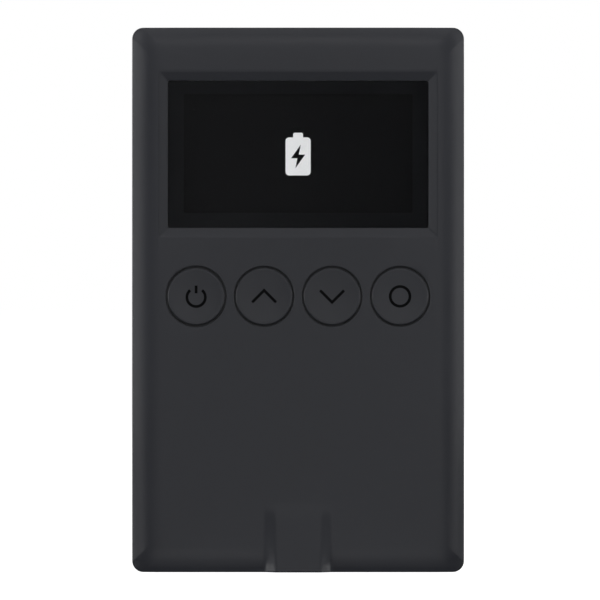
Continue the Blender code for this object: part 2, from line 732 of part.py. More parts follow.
def make_socket(surfaces, frame):
    """The USB-C socket: a drawn steel shell and the tongue inside it."""
    low, high = SOCKET_Z
    outer = upright_rings(*SOCKET_HALF, SOCKET_CORNER, SOCKET_DEPTH, (high, low))
    bore_half = [side - SOCKET_WALL for side in SOCKET_HALF]
    bore_corner = SOCKET_CORNER - SOCKET_WALL
    bore_top = high - SOCKET_WALL
    bore = upright_rings(*bore_half, bore_corner, SOCKET_DEPTH, (low, bore_top))
    loft("socket_shell", [[*outer, *bore]], surfaces["steel"], parent=frame, smooth=30)

    span = (low + TONGUE_INSET, TONGUE_BASE_Z)
    base_half = [side - TONGUE_BASE_GAP for side in bore_half]
    base_span = (TONGUE_BASE_Z, bore_top - TONGUE_BASE_GAP)
    tongue = upright_rings(*TONGUE_HALF, TONGUE_CORNER, SOCKET_DEPTH, span, 1)
    base = upright_rings(*base_half, TONGUE_BASE_CORNER, SOCKET_DEPTH, base_span, 1)
    loft("socket_tongue", [[*tongue, *base]], surfaces["chip"], parent=frame)


def make_battery(surfaces, frame):
    """The pouch cell with its tape, its guard board, and the plug in its socket on the main board."""
    front, back = BATTERY_DEPTH
    narrow_corner, wide_corner = BATTERY_CORNERS
    narrow_half = [side - BATTERY_EDGE for side in BATTERY_HALF]
    narrow = rounded_rect(*narrow_half, narrow_corner, BATTERY_AT, 3)
    wide = rounded_rect(*BATTERY_HALF, wide_corner, BATTERY_AT, 3)
    rings = [
        at_depth(narrow, front),
        at_depth(wide, front + BATTERY_EDGE),
        at_depth(wide, back - BATTERY_EDGE),
        at_depth(narrow, back),
    ]
    loft("battery_cell", [rings], surfaces["pouch"], parent=frame)
    tape_half = [side - BATTERY_TAPE_MARGIN for side in BATTERY_HALF]
    tape_depth = (back + BOARD_PART_GAP, BOARD_DEPTH[0] - BOARD_PART_GAP)
    tape = box_rings(*BATTERY_AT, *tape_half, tape_depth)
    loft("battery_tape", [tape], surfaces["tape"], parent=frame)
    guard = box_rings(BATTERY_AT[0], GUARD_Z, *GUARD_HALF, GUARD_DEPTH)
    loft("battery_guard_board", [guard], surfaces["board"], parent=frame)

    seat = box_rings(*BATTERY_SOCKET_AT, *BATTERY_SOCKET_HALF, BATTERY_SOCKET_DEPTH)
    loft("battery_socket", [seat], surfaces["plate"], parent=frame)
    plug = box_rings(BATTERY_SOCKET_AT[0], PLUG_Z, *PLUG_HALF, PLUG_DEPTH)
    loft("battery_plug", [plug], surfaces["plate"], parent=frame)


def make_battery_leads(surfaces, frame):
    """The two leads, side by side from the guard board's end round to the top of the plug."""
    start_x = BATTERY_AT[0] + GUARD_HALF[0] + 0.25
    plug_x = BATTERY_SOCKET_AT[0]
    plug_top = PLUG_Z + PLUG_HALF[1] + 0.15
    first, second, third, last = LEAD_DEPTHS
    for name, surface, side in (("battery_lead_red", "red", 1), ("battery_lead_black", "black", -1)):
        shift = LEAD_SPREAD * side
        route = [
            (start_x, first, GUARD_Z - shift),
            (start_x + 2.25, first, GUARD_Z - shift),
            (start_x + 5.25, second, GUARD_Z - 0.25 - shift),
            (plug_x - 1.0 - shift, third, GUARD_Z - 2.25 - shift),
            (plug_x - shift, last, plug_top + 3.05),
            (plug_x - shift, last, plug_top),
        ]
        tube(name, route, LEAD_RADIUS, surfaces[surface], frame)


# ------------------------------------------------------------------ build
def main():
    for old in list(bpy.data.objects):
        bpy.data.objects.remove(old)
    surfaces = make_materials()
    frame = bpy.data.objects.new("unit_frame", None)
    bpy.context.scene.collection.objects.link(frame)
    frame.empty_display_size = 10 * MM

    socket_slot()
    make_front_shell(surfaces, frame)
    make_rear_cover(surfaces, frame)
    make_display(surfaces, frame)
    make_display_flex(surfaces, frame)
    make_keypad(surfaces, frame)
    make_board(surfaces, frame)
    make_chips(surfaces, frame)
    make_socket(surfaces, frame)
    make_battery(surfaces, frame)
    make_battery_leads(surfaces, frame)


main()
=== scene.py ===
"""The looks of the pocket keypad unit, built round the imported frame.

Lengths are in millimetres. A point is (x, depth, z): x runs across the case, z up it, and depth from the
flat of the display side towards the back. The builders turn all of it into metres.
"""

import json
import math

import bmesh
import bpy
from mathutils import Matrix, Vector


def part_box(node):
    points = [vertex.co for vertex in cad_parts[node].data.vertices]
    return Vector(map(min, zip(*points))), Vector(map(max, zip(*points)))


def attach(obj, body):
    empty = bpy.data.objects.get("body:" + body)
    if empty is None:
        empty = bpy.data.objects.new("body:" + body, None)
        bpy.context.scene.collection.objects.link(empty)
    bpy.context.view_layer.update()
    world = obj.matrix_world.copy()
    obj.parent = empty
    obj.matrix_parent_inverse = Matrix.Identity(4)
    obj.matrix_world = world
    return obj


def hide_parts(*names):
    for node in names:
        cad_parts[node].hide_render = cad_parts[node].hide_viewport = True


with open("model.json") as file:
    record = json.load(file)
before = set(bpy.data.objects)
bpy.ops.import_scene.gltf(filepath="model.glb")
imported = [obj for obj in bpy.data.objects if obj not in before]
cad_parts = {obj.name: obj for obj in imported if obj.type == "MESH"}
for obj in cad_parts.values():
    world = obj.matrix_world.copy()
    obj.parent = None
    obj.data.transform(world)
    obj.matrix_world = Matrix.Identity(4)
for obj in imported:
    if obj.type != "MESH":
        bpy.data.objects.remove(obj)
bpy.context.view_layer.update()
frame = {"nodes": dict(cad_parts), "record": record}

# ------------------------------------------------------------------ sizes, in millimetres
MM = 0.001

# How far joined shapes run into each other, the depth, in front of everything, where cutters start, and
# the angle in degrees from which an edge is shaded sharp.
OVERLAP = 0.2
OUTSIDE = -1.0
SHARP_ANGLE = 30.0


def node_box(node):
    """The lowest and highest corner of a CAD node, in millimetres."""
    return tuple(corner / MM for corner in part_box(node))


SHELL_LOW, SHELL_HIGH = node_box("front_shell")
COVER_HIGH = node_box("rear_cover")[1]
GLASS_LOW, GLASS_HIGH = node_box("display_window")
SOCKET_LOW, SOCKET_HIGH = node_box("socket_shell")
TONGUE_LOW, TONGUE_HIGH = node_box("socket_tongue")

# The case. The hump over the socket is its only part in front of the flat. INNER_RINGS holds the (inset,
# depth) of its inside's bends, and LIP the outer inset, inner inset and depth of the rear cover's lip.
HUMP_RISE = 0.45
FLAT_Y = SHELL_LOW.y + HUMP_RISE
HALF_WIDTH = SHELL_HIGH.x
MID_Z = SHELL_HIGH.z / 2
SPLIT_DEPTH = SHELL_HIGH.y - FLAT_Y
BACK_DEPTH = COVER_HIGH.y - FLAT_Y
SPLIT_GAP = 0.1
SPLIT_BEVEL = 0.07
CORNER_RADIUS = 1.8
CROWN_START = 0.15
CROWN_REACH = 5.2
CROWN_DROP = 1.15
CROWN_POWER = 2.5
SIDE_START = 1.5
PLATE = 1.1
WALL = 1.2
INNER_RINGS = ((WALL, 2.2), (1.9, 1.5), (3.4, PLATE))
BACK_EDGE = 1.3
BACK_PLATE = 0.95
INSIDE_CHAMFER = 0.4
LIP = (1.3, 1.9, 3.75)

# How finely the case is drawn: how far in the flat's rings start, the half width of the close points at
# the foot, and the steps of each stretch of the outline and of the section.
FLAT_REACH = 12.0
FINE_HALF = 6.5
FINE_STEPS = 104
END_STEPS = 8
SIDE_STEPS = 12
CORNER_STEPS = 10
FLAT_STEPS = 24
CROWN_STEPS = 24
RIM_STEPS = 6
BACK_STEPS = 12

# The hump: half widths of its top and base, the z between which its upper end slopes, and how far each
# side slope and the end slope are rounded off. Its top loses HUMP_WEDGE of its rise between the two z of
# HUMP_WEDGE_SPAN.
HUMP_SIDES = (3.66, 5.46)
HUMP_SIDE_SOFT = 0.35
HUMP_END = (9.2, 11.1)
HUMP_END_SOFT = 0.5
HUMP_WEDGE = 0.25
HUMP_WEDGE_SPAN = (5.5, 9.5)
HUMP_FILLET = 0.3
HUMP_WALL = 0.7

# The window in the case, and the printed border behind the glass. WINDOW_MOUTH holds the (outset, depth)
# pairs of its softened chamfer.
WINDOW_Z = (GLASS_LOW.z + GLASS_HIGH.z) / 2
POCKET_MARGIN = 0.1
POCKET_HALF = (GLASS_HIGH.x + POCKET_MARGIN, (GLASS_HIGH.z - GLASS_LOW.z) / 2 + POCKET_MARGIN)
POCKET_DEPTH = 1.42
GLASS_GAP = 0.05
GLASS_BEVEL = 0.03
WINDOW_CORNER = 0.25
WINDOW_MOUTH = ((2.2, -0.053), (1.7, 0.0035), (1.5, 0.0263), (1.3, 0.0743), (0.0, 0.55))
FRAME_HALF = (23.0, 14.0)
FRAME_BACK = 1.95
VIEW_HALF = (18.7, 9.75)
VIEW_Z = 68.12
INK_HALF = (18.6, 9.65)
INK_GAP = 0.004
INK_THICKNESS = 0.02

# The keys. The dish in a cap ends at KEY_CREST, where its rounded edge starts. POWER_ARC is in degrees.
KEY_NAMES = ("power", "up", "down", "confirm")
KEY_RADIUS = 4.65
KEY_CREST = 4.4
KEY_DISH = 0.2
KEY_FLANGE = 5.25
KEY_FLANGE_DEPTH = (1.2, 1.65)
KEY_HOLE = 4.93
POWER_HOLE = 4.98
KEY_MOUTH = 0.1
NUB_RADIUS = 1.1
NUB_TIP = 2.25
DISH_STEPS = 14
KEY_EDGE_STEPS = 6
ICON_STROKE = 0.45
ICON_FLOOR = 0.34
CHEVRON_ARM = 1.95
POWER_RADIUS = 1.5
POWER_DROP = 0.15
POWER_ARC = (130.0, 410.0)
POWER_STEPS = 40
POWER_BAR = (0.5, 1.75)
CONFIRM_RADIUS = 1.6
CONFIRM_STEPS = 64

# A rounded mouth: the turns of its rounding in degrees, steepest first, and how far its cutter runs on
# outside it, in radii.
MOUTH_TURNS = (75, 50, 25, 0)
MOUTH_REACH = 3

# The socket's opening and the contacts on its tongue.
SOCKET_DEPTH = (SOCKET_LOW.y + SOCKET_HIGH.y) / 2 - FLAT_Y
SLOT_MARGIN = 0.13
SLOT_HALF = (SOCKET_HIGH.x + SLOT_MARGIN, (SOCKET_HIGH.y - SOCKET_LOW.y) / 2 + SLOT_MARGIN)
SLOT_CORNER = 1.53
SLOT_MOUTH = 0.12
SLOT_TOP = 4.0
TONGUE_HALF = 0.35
CONTACT_COUNT = 12
CONTACT_PITCH = 0.5
CONTACT_HALF = (0.12, 2.0)
CONTACT_CORNER = 0.1
CONTACT_RISE = 2.3
CONTACT_PROUD = 0.02

# The symbol on the display: a battery with a bolt cut out of it.
SYMBOL_Z = 67.65
SYMBOL_HALF = (2.05, 3.1)
SYMBOL_CORNER = 0.6
SYMBOL_DEPTH = (2.2, 2.24)
TERMINAL_HALF = (0.8, 0.75)
TERMINAL_CORNER = 0.25
BOLT = ((0.45, 1.95), (-1.15, -0.3), (-0.12, -0.3), (-0.45, -1.95), (1.15, 0.3), (0.12, 0.3))

# ------------------------------------------------------------------ sizes of the studio, in metres
FLOOR_REACH = 30.0
LAMP_DISTANCE = 1.2
CAMERA_DISTANCE = 1.2
CAMERA_SHIFT = (0.00031, -0.00002)
CAMERA_SENSOR = 36.0
WIDTH_SEEN = 0.0975
CENTRE = Vector((0.0, 0.0, MID_Z)) * MM

# The room's brightness; the card's two brightnesses; the sideways part of the direction where the card's
# fade starts and ends; and the forward part where the card gives way to the room.
ROOM_GREY = 0.010
CARD_GREY = (0.046, 0.012)
CARD_FADE = (-0.010, 0.022)
CARD_EDGE = (-0.994, -0.985)


# ------------------------------------------------------------------ materials
NOISE_RANGE = (0.3, 0.7)


class Nodes:
    """A node tree, with the steps that both the materials and the world use."""

    def __init__(self, tree):
        self.tree = tree

    def feed(self, socket, value):
        """Links a socket to a node's output, or sets it to a number or colour."""
        if isinstance(value, bpy.types.NodeSocket):
            self.tree.links.new(value, socket)
        else:
            socket.default_value = value

    def node(self, kind, inputs=None, **settings):
        """A new node with its settings and inputs."""
        made = self.tree.nodes.new(kind)
        for key, value in settings.items():
            setattr(made, key, value)
        for key, value in (inputs or {}).items():
            self.feed(made.inputs[key], value)
        return made

    def ramp(self, value, low, high, start=0.0, end=1.0):
        """Turns low..high smoothly into start..end."""
        inputs = {"Value": value, "From Min": low, "From Max": high, "To Min": start, "To Max": end}
        made = self.node("ShaderNodeMapRange", inputs, interpolation_type="SMOOTHSTEP")
        return made.outputs["Result"]


class Surface(Nodes):
    """A Principled material whose colour, roughness and bump come from nodes in object space."""

    def __init__(self, name, sockets=None):
        self.material = bpy.data.materials.new(name)
        self.material.use_nodes = True
        super().__init__(self.material.node_tree)
        self.shader = self.tree.nodes["Principled BSDF"]
        self.normal = None
        for socket, value in (sockets or {}).items():
            self.shader.inputs[socket].default_value = value

    def place(self, stretch=(1.0, 1.0, 1.0)):
        """The place on the object in millimetres, squeezed along each axis by that much."""
        spot = self.node("ShaderNodeTexCoord").outputs["Object"]
        scale = tuple(share / MM for share in stretch)
        return self.node("ShaderNodeMapping", {"Vector": spot, "Scale": scale}).outputs["Vector"]

    def noise(self, size, detail=3.0, stretch=(1.0, 1.0, 1.0), distortion=0.0):
        """Cloudy noise of about that size in millimetres."""
        inputs = {"Vector": self.place(stretch), "Scale": 1 / size}
        inputs.update({"Detail": detail, "Distortion": distortion})
        return self.node("ShaderNodeTexNoise", inputs).outputs[0]

    def cells(self, size, metric="EUCLIDEAN", stretch=(1.0, 1.0, 1.0)):
        """Distances within cells of about that size in millimetres."""
        inputs = {"Vector": self.place(stretch), "Scale": 1 / size}
        return self.node("ShaderNodeTexVoronoi", inputs, distance=metric).outputs["Distance"]

    def noise_ramp(self, noise, start=0.0, end=1.0):
        """Turns the range that most of a noise lies in into start..end."""
        return self.ramp(noise, *NOISE_RANGE, start, end)

    def maths(self, operation, first, second=0.0):
        """One arithmetic step."""
        return self.node("ShaderNodeMath", {0: first, 1: second}, operation=operation).outputs[0]

    def mix(self, share, first, second):
        """A blend of two colours."""
        inputs = {0: share, 6: first, 7: second}
        return self.node("ShaderNodeMix", inputs, data_type="RGBA").outputs[2]

    def colour(self, value):
        self.feed(self.shader.inputs["Base Color"], value)

    def roughness(self, value):
        self.feed(self.shader.inputs["Roughness"], value)

    def bump(self, height, depth):
        """Adds a relief of that depth in millimetres on top of any earlier one."""
        inputs = {"Height": height, "Distance": depth * MM, "Strength": 1.0}
        if self.normal is not None:
            inputs["Normal"] = self.normal
        self.normal = self.node("ShaderNodeBump", inputs).outputs["Normal"]
        self.feed(self.shader.inputs["Normal"], self.normal)


def shade(colour, factor):
    """A colour made lighter or darker, with its alpha."""
    return (*(min(1.0, part * factor) for part in colour), 1.0)


def varied(name, colour, roughness, patch, grain, relief, spread=0.08, sockets=None):
    """A material with soft patches of tone and gloss over a fine grain, both sized in millimetres."""
    made = Surface(name, sockets)
    clouds = made.noise_ramp(made.noise(patch, 4.0))
    made.colour(made.mix(clouds, shade(colour, 1 - spread), shade(colour, 1 + spread)))
    fine = made.noise(grain)
    gloss = made.maths("ADD", made.noise_ramp(fine, -0.05, 0.05), roughness)
    made.roughness(made.maths("ADD", gloss, made.ramp(clouds, 0.0, 1.0, -0.03, 0.03)))
    made.bump(fine, relief)
    return made.material


def edge_distance(made):
    """How far a point is from the case's outline, in millimetres."""
    axes = made.node("ShaderNodeSeparateXYZ", {"Vector": made.place()})
    across = made.maths("SUBTRACT", HALF_WIDTH, made.maths("ABSOLUTE", axes.outputs["X"]))
    level = made.maths("ABSOLUTE", made.maths("SUBTRACT", axes.outputs["Z"], MID_Z))
    return made.maths("MINIMUM", across, made.maths("SUBTRACT", MID_Z, level))


def case_plastic():
    """Charcoal moulded plastic: a fine spark-eroded grain, faint flow clouds and a rim rubbed smooth."""
    colour = (0.0294, 0.0314, 0.0392)
    made = Surface("case_plastic", {"IOR": 1.46})
    clouds = made.noise_ramp(made.noise(14.0, 5.0, distortion=0.4))
    fine = made.noise(0.13, 2.0)
    pits = made.cells(0.22)
    rim = made.ramp(edge_distance(made), 0.7, 0.0)
    rub = made.maths("MULTIPLY", rim, made.ramp(made.noise(3.0), 0.42, 0.62))
    plain = made.mix(clouds, shade(colour, 0.97), shade(colour, 1.03))
    made.colour(made.mix(made.maths("MULTIPLY", rub, 0.5), plain, shade(colour, 1.2)))
    patches = made.ramp(clouds, 0.0, 1.0, -0.015, 0.015)
    gloss = made.maths("ADD", patches, made.noise_ramp(fine, 0.35, 0.41))
    made.roughness(made.maths("SUBTRACT", gloss, made.maths("MULTIPLY", rub, 0.03)))
    made.bump(fine, 0.005)
    made.bump(pits, 0.003)
    return made.material


def key_plastic():
    """The keys' plastic: the case's charcoal, worn a little smoother in the middle by fingertips."""
    colour = (0.0304, 0.0324, 0.0397)
    made = Surface("key_plastic", {"IOR": 1.46})
    spot = made.node("ShaderNodeTexCoord").outputs["Generated"]
    shift = {0: spot, 1: (-0.5, 0.0, -0.5)}
    centred = made.node("ShaderNodeVectorMath", shift, operation="ADD").outputs[0]
    squash = {0: centred, 1: (1.0, 0.0, 1.0)}
    flat = made.node("ShaderNodeVectorMath", squash, operation="MULTIPLY").outputs[0]
    away = made.node("ShaderNodeVectorMath", {0: flat}, operation="LENGTH").outputs["Value"]
    touched = made.maths("MULTIPLY", made.ramp(away, 0.42, 0.1), made.ramp(made.noise(2.5), 0.3, 0.6))
    clouds = made.noise_ramp(made.noise(5.0, 4.0))
    fine = made.noise(0.11, 2.0)
    made.colour(made.mix(clouds, shade(colour, 0.97), shade(colour, 1.03)))
    gloss = made.maths("ADD", 0.37, made.noise_ramp(fine, -0.03, 0.03))
    made.roughness(made.maths("SUBTRACT", gloss, made.maths("MULTIPLY", touched, 0.06)))
    made.bump(fine, 0.004)
    return made.material


def window_glass():
    """Clear cover glass with the faintest finger smears."""
    made = Surface("cover_glass", {"Transmission Weight": 1.0, "IOR": 1.5})
    smear = made.ramp(made.noise(6.0, 4.0, (1.0, 1.0, 0.5), 0.6), 0.45, 0.75, 0.0, 1.0)
    made.colour(made.mix(smear, (0.93, 0.94, 0.95, 1.0), (0.90, 0.91, 0.92, 1.0)))
    made.roughness(made.maths("MULTIPLY", smear, 0.03))
    made.bump(made.noise(9.0, 1.0), 0.001)
    return made.material


def symbol_light():
    """The lit pixels of the display."""
    made = Surface("lit_symbol", {"Base Color": (0.5, 0.5, 0.5, 1.0), "Emission Strength": 0.70})
    clouds = made.noise_ramp(made.noise(1.5, 2.0))
    glow = made.mix(clouds, (0.98, 0.98, 0.98, 1.0), (1.0, 1.0, 1.0, 1.0))
    made.feed(made.shader.inputs["Emission Color"], glow)
    made.roughness(made.ramp(clouds, 0.0, 1.0, 0.3, 0.4))
    return made.material


def display_glass():
    """The dark panel behind the window, with its faint row of electrodes."""
    made = Surface("panel_glass", {"Specular IOR Level": 0.1})
    rows = made.node("ShaderNodeTexWave", {"Vector": made.place(), "Scale": 1.2}, bands_direction="Z")
    shades = (0.0030, 0.0034, 0.0043, 1.0), (0.0037, 0.0041, 0.0050, 1.0)
    made.colour(made.mix(rows.outputs["Fac"], *shades))
    made.roughness(made.noise_ramp(made.noise(3.0), 0.30, 0.36))
    made.bump(rows.outputs["Fac"], 0.0005)
    return made.material


def circuit_board():
    """Green solder mask over copper tracks, with plated vias."""
    made = Surface("circuit_board", {"IOR": 1.5})
    tracks = made.ramp(made.cells(1.7, metric="CHEBYCHEV"), 0.42, 0.48)
    vias = made.ramp(made.cells(2.3, stretch=(1.0, 0.01, 1.0)), 0.14, 0.11)
    mask = made.mix(tracks, (0.006, 0.060, 0.020, 1.0), (0.012, 0.110, 0.035, 1.0))
    made.colour(made.mix(vias, mask, (0.60, 0.42, 0.16, 1.0)))
    made.feed(made.shader.inputs["Metallic"], vias)
    made.roughness(made.noise_ramp(made.noise(0.4), 0.28, 0.40))
    made.bump(tracks, 0.03)
    made.bump(made.noise(0.25), 0.004)
    return made.material


def chip_epoxy():
    """Moulded chip epoxy: nearly black, matt and finely speckled."""
    made = Surface("chip_epoxy", {"IOR": 1.55})
    specks = made.ramp(made.cells(0.12), 0.25, 0.15)
    made.colour(made.mix(specks, (0.012, 0.012, 0.013, 1.0), (0.030, 0.030, 0.031, 1.0)))
    made.roughness(made.noise_ramp(made.noise(0.5), 0.48, 0.62))
    made.bump(made.noise(0.08), 0.006)
    return made.material


def brushed_steel():
    """Nickel-plated steel with fine drawing lines along the socket."""
    made = Surface("plated_steel", {"Metallic": 1.0})
    lines = made.noise(0.10, 3.0, (1.0, 1.0, 0.03))
    made.colour(made.mix(made.noise(2.0), (0.50, 0.50, 0.49, 1.0), (0.64, 0.63, 0.61, 1.0)))
    made.roughness(made.noise_ramp(lines, 0.22, 0.38))
    made.bump(lines, 0.004)
    return made.material


def gold_plate():
    """Gold-plated contacts, dulled where plugs have slid."""
    made = Surface("gold_plate", {"Metallic": 1.0})
    made.colour(made.mix(made.noise(0.6), (0.75, 0.52, 0.22, 1.0), (0.88, 0.66, 0.32, 1.0)))
    made.roughness(made.noise_ramp(made.noise(0.08, 3.0, (1.0, 1.0, 0.1)), 0.18, 0.36))
    return made.material


def battery_pouch():
    """Silver laminate: long soft creases and an embossed weave, painted darker in the creases' low parts
    as painted shade.
    """
    made = Surface("battery_pouch", {"Metallic": 0.85})
    creases = made.noise(5.0, 4.0, (1.0, 1.0, 0.4), 0.8)
    weave = made.cells(0.35, metric="MANHATTAN")
    # Painted shade: the laminate is darker where the crease relief is low and lighter where it rises.
    made.colour(made.mix(creases, (0.44, 0.45, 0.47, 1.0), (0.62, 0.63, 0.65, 1.0)))
    made.roughness(made.ramp(weave, 0.0, 0.6, 0.30, 0.42))
    made.bump(creases, 0.12)
    made.bump(weave, 0.01)
    return made.material


def closed_foam():
    """Grey closed-cell foam with open pores on its cut faces, each pore painted darker towards its sunk
    middle as painted shade.
    """
    made = Surface("closed_foam", {"Sheen Weight": 0.2})
    pores = made.cells(0.28)
    # Painted shade: the colour darkens towards each pore's middle, where the bump sinks it.
    shades = (0.025, 0.025, 0.026, 1.0), (0.065, 0.065, 0.067, 1.0)
    made.colour(made.mix(made.ramp(pores, 0.1, 0.5), *shades))
    made.roughness(made.ramp(pores, 0.0, 0.6, 0.85, 0.97))
    made.bump(pores, 0.08)
    return made.material


def flex_film():
    """Amber polyimide with copper tracks running along it under the film."""
    made = Surface("flex_film", {"IOR": 1.6, "Coat Weight": 0.3})
    tracks = made.node("ShaderNodeTexWave", {"Vector": made.place(), "Scale": 0.6}, bands_direction="X")
    copper = made.ramp(tracks.outputs["Fac"], 0.4, 0.6)
    made.colour(made.mix(copper, (0.42, 0.17, 0.03, 1.0), (0.55, 0.26, 0.07, 1.0)))
    made.roughness(made.noise_ramp(made.noise(0.8), 0.30, 0.42))
    made.bump(copper, 0.02)
    return made.material


def make_surfaces():
    """The materials by the record's slot, and the few that no slot names."""
    made = {
        "case": case_plastic(),
        "keys": key_plastic(),
        "window_glass": window_glass(),
        "panel_glass": display_glass(),
        "board": circuit_board(),
        "chip": chip_epoxy(),
        "steel": brushed_steel(),
        "pouch": battery_pouch(),
        "foam": closed_foam(),
        "flex": flex_film(),
        "gold": gold_plate(),
        "symbol": symbol_light(),
    }
    dull = {"Specular IOR Level": 0.1}
    for slot, *look in (
        ("tape", "black_tape", (0.010, 0.010, 0.011), 0.75, 2.0, 0.2, 0.01),
        ("nylon", "natural_nylon", (0.60, 0.60, 0.57), 0.52, 2.5, 0.15, 0.008, 0.04),
        ("switch_nylon", "black_nylon", (0.030, 0.030, 0.032), 0.55, 1.5, 0.12, 0.008),
        ("ceramic", "fired_ceramic", (0.70, 0.67, 0.60), 0.50, 0.8, 0.06, 0.006, 0.05),
        ("red_lead", "red_silicone", (0.50, 0.02, 0.02), 0.45, 1.5, 0.12, 0.006),
        ("black_lead", "black_silicone", (0.012, 0.012, 0.013), 0.45, 1.5, 0.12, 0.006),
        ("ink", "printed_ink", (0.0185, 0.0194, 0.0215), 0.60, 4.0, 0.10, 0.002, 0.05, dull),
        # The keys' engraved symbols: a near-black, dull colour on their cut faces, much darker than the
        # key plastic.
        ("groove", "groove_ink", (0.0042, 0.0043, 0.0048), 0.70, 1.0, 0.08, 0.006, 0.08, dull),
    ):
        made[slot] = varied(*look)
    return made


# ------------------------------------------------------------------ builders
def to_metres(point):
    """(x, depth, z) in millimetres as a place in metres."""
    x, depth, z = point
    return Vector((x, FLAT_Y + depth, z)) * MM


def spaced(start, end, steps):
    """Even steps from start up to, but not including, end."""
    return [start + (end - start) * k / steps for k in range(steps)]


def add_loft(shape, rings, looped):
    """Adds the skin through rings of points, closed by end faces, or by itself if looped."""
    made = [[shape.verts.new(to_metres(point)) for point in ring] for ring in rings]
    pairs = list(zip(made, made[1:]))
    if looped:
        pairs.append((made[-1], made[0]))
    else:
        shape.faces.new(made[0])
        shape.faces.new(list(reversed(made[-1])))
    for first, second in pairs:
        for k, corner in enumerate(first):
            after = (k + 1) % len(first)
            shape.faces.new((corner, second[k], second[after], first[after]))


def solid(name, bodies, surface=None, looped=False):
    """An object of one or more lofted bodies, in place but riding on nothing yet."""
    shape = bmesh.new()
    for rings in bodies:
        add_loft(shape, rings, looped)
    bmesh.ops.recalc_face_normals(shape, faces=shape.faces)
    mesh = bpy.data.meshes.new(name)
    shape.to_mesh(mesh)
    shape.free()
    if surface is not None:
        mesh.materials.append(surface)
    made = bpy.data.objects.new(name, mesh)
    bpy.context.scene.collection.objects.link(made)
    return made


def reshape(target, tool, operation="DIFFERENCE", transfer=False):
    """Queues one Boolean step with that tool. With transfer, the cut takes the tool's material."""
    step = target.modifiers.new(tool.name, "BOOLEAN")
    step.operation = operation
    step.object = tool
    if transfer:
        step.material_mode = "TRANSFER"


def settle(target):
    """Applies the queued steps and deletes their tools."""
    tools = [step.object for step in target.modifiers if step.type == "BOOLEAN"]
    settled = target.evaluated_get(bpy.context.evaluated_depsgraph_get())
    mesh = bpy.data.meshes.new_from_object(settled)
    target.modifiers.clear()
    target.data = mesh
    mesh.name = target.name
    for tool in tools:
        bpy.data.objects.remove(tool)


def piece(made, body="case", replaces=()):
    """Shades a finished object, weights its normals by area, hides the CAD nodes it replaces and sets
    what it rides on.
    """
    made.data.shade_smooth()
    made.data.set_sharp_from_angle(angle=math.radians(SHARP_ANGLE))
    weighted = made.modifiers.new("weighted_normals", "WEIGHTED_NORMAL")
    weighted.keep_sharp = True
    if replaces:
        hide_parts(*replaces)
    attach(made, body)


def rounded(half_x, half_z, radius, centre, steps=6):
    """(x, z) points round a rectangle with round corners."""
    points = []
    for quarter, (side_x, side_z) in enumerate(((1, 1), (-1, 1), (-1, -1), (1, -1))):
        for step in range(steps + 1):
            angle = (quarter + step / steps) * math.pi / 2
            x = centre[0] + side_x * (half_x - radius) + radius * math.cos(angle)
            points.append((x, centre[1] + side_z * (half_z - radius) + radius * math.sin(angle)))
    return points


def at_depth(points, depth):
    """(x, z) points as a ring at one depth."""
    return [(x, depth, z) for x, z in points]


def turned(profile, centre, steps=96):
    """Rings about an axis into the case, from (radius, depth) pairs."""
    rings = []
    for radius, depth in profile:
        turns = [(math.cos(a), math.sin(a)) for a in spaced(0.0, 2 * math.pi, steps)]
        rings.append([(centre[0] + radius * x, depth, centre[1] + radius * z) for x, z in turns])
    return rings


def round_mouth(radius):
    """(offset, depth) pairs of a rounded mouth's cutter, from well outside it in to a straight wall."""
    pairs = []
    for degrees in MOUTH_TURNS:
        angle = math.radians(degrees)
        pairs.append((radius * (1 - math.cos(angle)), radius * (1 - math.sin(angle))))
    out, depth = pairs[0]
    reach = MOUTH_REACH * radius
    outer = (out + reach, depth - reach * math.tan(math.radians(90 - MOUTH_TURNS[0])))
    return [(outer[0], OUTSIDE), outer, *pairs]


# ------------------------------------------------------------------ case
def outline(inset):
    """(x, z) points round the case, that far in from its edge, close together where the hump is."""
    half_x, half_z = HALF_WIDTH - inset, MID_Z - inset
    run, rise = half_x - CORNER_RADIUS, half_z - CORNER_RADIUS

    def corner(x, z, start):
        turns = spaced(math.radians(start), math.radians(start + 90), CORNER_STEPS)
        return [(x + CORNER_RADIUS * math.cos(a), z + CORNER_RADIUS * math.sin(a)) for a in turns]

    foot = spaced(-run, -FINE_HALF, END_STEPS) + spaced(-FINE_HALF, FINE_HALF, FINE_STEPS)
    foot += spaced(FINE_HALF, run, END_STEPS)
    points = [(x, -half_z) for x in foot]
    points += corner(run, -rise, -90)
    points += [(half_x, z) for z in spaced(-rise, rise, SIDE_STEPS)]
    points += corner(run, rise, 0)
    points += [(x, half_z) for x in spaced(run, -run, END_STEPS)]
    points += corner(-run, rise, 90)
    points += [(-half_x, z) for z in spaced(rise, -rise, SIDE_STEPS)]
    points += corner(-run, -rise, 180)
    return [(x, MID_Z + z) for x, z in points]


def crown(inset):
    """Depth of the display side at that distance in from the outline."""
    away = max(0.0, 1 - (inset - CROWN_START) / CROWN_REACH)
    return CROWN_DROP * away**CROWN_POWER


def climb(value, low, high, soft):
    """0 up to low, 1 from high on and straight between, rounded that far to each side of both bends."""

    def bend(corner):
        past = min(max(value - corner, -soft), soft)
        return (past + soft) ** 2 / (4 * soft) + max(0.0, value - corner - soft)

    return (bend(low) - bend(high)) / (high - low)


def hump_share(x, z):
    """The hump's height as a share of its height at the foot."""
    low, high = HUMP_WEDGE_SPAN
    up = min(1.0, max(0.0, (z - low) / (high - low)))
    across = 1 - climb(abs(x), *HUMP_SIDES, HUMP_SIDE_SOFT)
    return across * (1 - HUMP_WEDGE * up) * (1 - climb(z, *HUMP_END, HUMP_END_SOFT))


